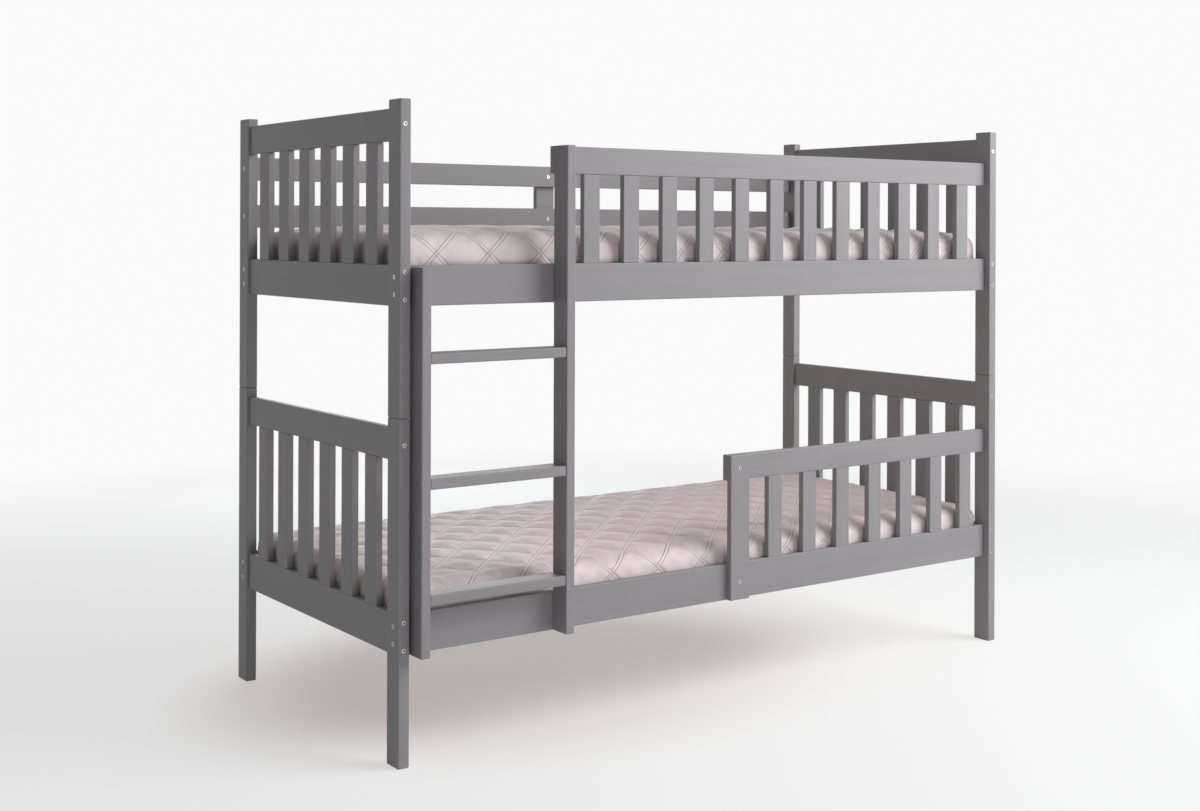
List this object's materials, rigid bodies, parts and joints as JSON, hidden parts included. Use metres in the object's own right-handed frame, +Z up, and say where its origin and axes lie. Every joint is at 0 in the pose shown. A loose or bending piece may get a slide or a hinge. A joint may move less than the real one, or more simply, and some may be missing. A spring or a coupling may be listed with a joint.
{
  "type": "bunk bed",
  "caption": "Wooden bunk bed of two stackable slatted beds with a fixed front ladder, guard rails and diamond-quilted mattresses.",
  "frame": {"origin": "on the floor, at the centre of the whole bed's footprint, ladder included", "axes": "+X along the bed's length, -Y towards the ladder side, +Z up"},
  "size_m": [1.966, 0.933, 1.485],
  "materials": {
    "grey_paint": "satin grey paint",
    "bare_pine": "bare planed pine",
    "zinc_steel": "zinc plated",
    "quilted_cover": "satin-woven quilted cover"
  },
  "bodies": {
    "lower_bed": {"lower_post_front_left": "grey_paint", "lower_post_rear_left": "grey_paint", "lower_post_front_right": "grey_paint", "lower_post_rear_right": "grey_paint", "lower_left_panel_top_board": "grey_paint", "lower_left_panel_bottom_board": "grey_paint", "lower_left_panel_slats": "grey_paint", "lower_right_panel_top_board": "grey_paint", "lower_right_panel_bottom_board": "grey_paint", "lower_right_panel_slats": "grey_paint", "lower_front_rail": "grey_paint", "lower_rear_rail": "grey_paint", "lower_front_ledger": "bare_pine", "lower_rear_ledger": "bare_pine", "lower_base_slats": "bare_pine", "lower_base_screws": "zinc_steel", "lower_guard_board": "grey_paint", "lower_guard_slats": "grey_paint", "lower_panel_bolts": "zinc_steel", "lower_rail_bolts": "zinc_steel", "lower_nuts": "zinc_steel", "lower_guard_post": "grey_paint", "lower_guard_bolts": "zinc_steel", "post_pins": "zinc_steel"},
    "upper_bed": {"upper_post_front_left": "grey_paint", "upper_post_rear_left": "grey_paint", "upper_post_front_right": "grey_paint", "upper_post_rear_right": "grey_paint", "upper_left_panel_top_board": "grey_paint", "upper_left_panel_bottom_board": "grey_paint", "upper_left_panel_slats": "grey_paint", "upper_right_panel_top_board": "grey_paint", "upper_right_panel_bottom_board": "grey_paint", "upper_right_panel_slats": "grey_paint", "upper_front_rail": "grey_paint", "upper_rear_rail": "grey_paint", "upper_front_ledger": "bare_pine", "upper_rear_ledger": "bare_pine", "upper_base_slats": "bare_pine", "upper_base_screws": "zinc_steel", "upper_guard_board": "grey_paint", "upper_guard_slats": "grey_paint", "upper_panel_bolts": "zinc_steel", "upper_rail_bolts": "zinc_steel", "upper_nuts": "zinc_steel", "rear_guard_low_board": "grey_paint", "rear_guard_top_board": "grey_paint", "rear_guard_upright": "grey_paint", "rear_guard_bolts": "zinc_steel", "ladder_left_stile": "grey_paint", "ladder_right_stile": "grey_paint", "ladder_bottom_rung": "grey_paint", "ladder_middle_rung": "grey_paint", "ladder_top_rung": "grey_paint", "ladder_rung_bolts": "zinc_steel", "ladder_rung_dowels": "bare_pine", "ladder_bolts": "zinc_steel"},
    "lower_mattress": {"lower_mattress": "quilted_cover"},
    "upper_mattress": {"upper_mattress": "quilted_cover"}
  },
  "joints": [
    {"name": "upper_bed_lift", "type": "slide", "parent": "lower_bed", "child": "upper_bed", "axis": [0, 0, 1], "range_m": [0, 0.06]},
    {"name": "lower_mattress_lift", "type": "slide", "parent": "lower_bed", "child": "lower_mattress", "axis": [0, 0, 1], "range_m": [0, 0.3]},
    {"name": "upper_mattress_lift", "type": "slide", "parent": "upper_bed", "child": "upper_mattress", "axis": [0, 0, 1], "range_m": [0, 0.4]}
  ]
}
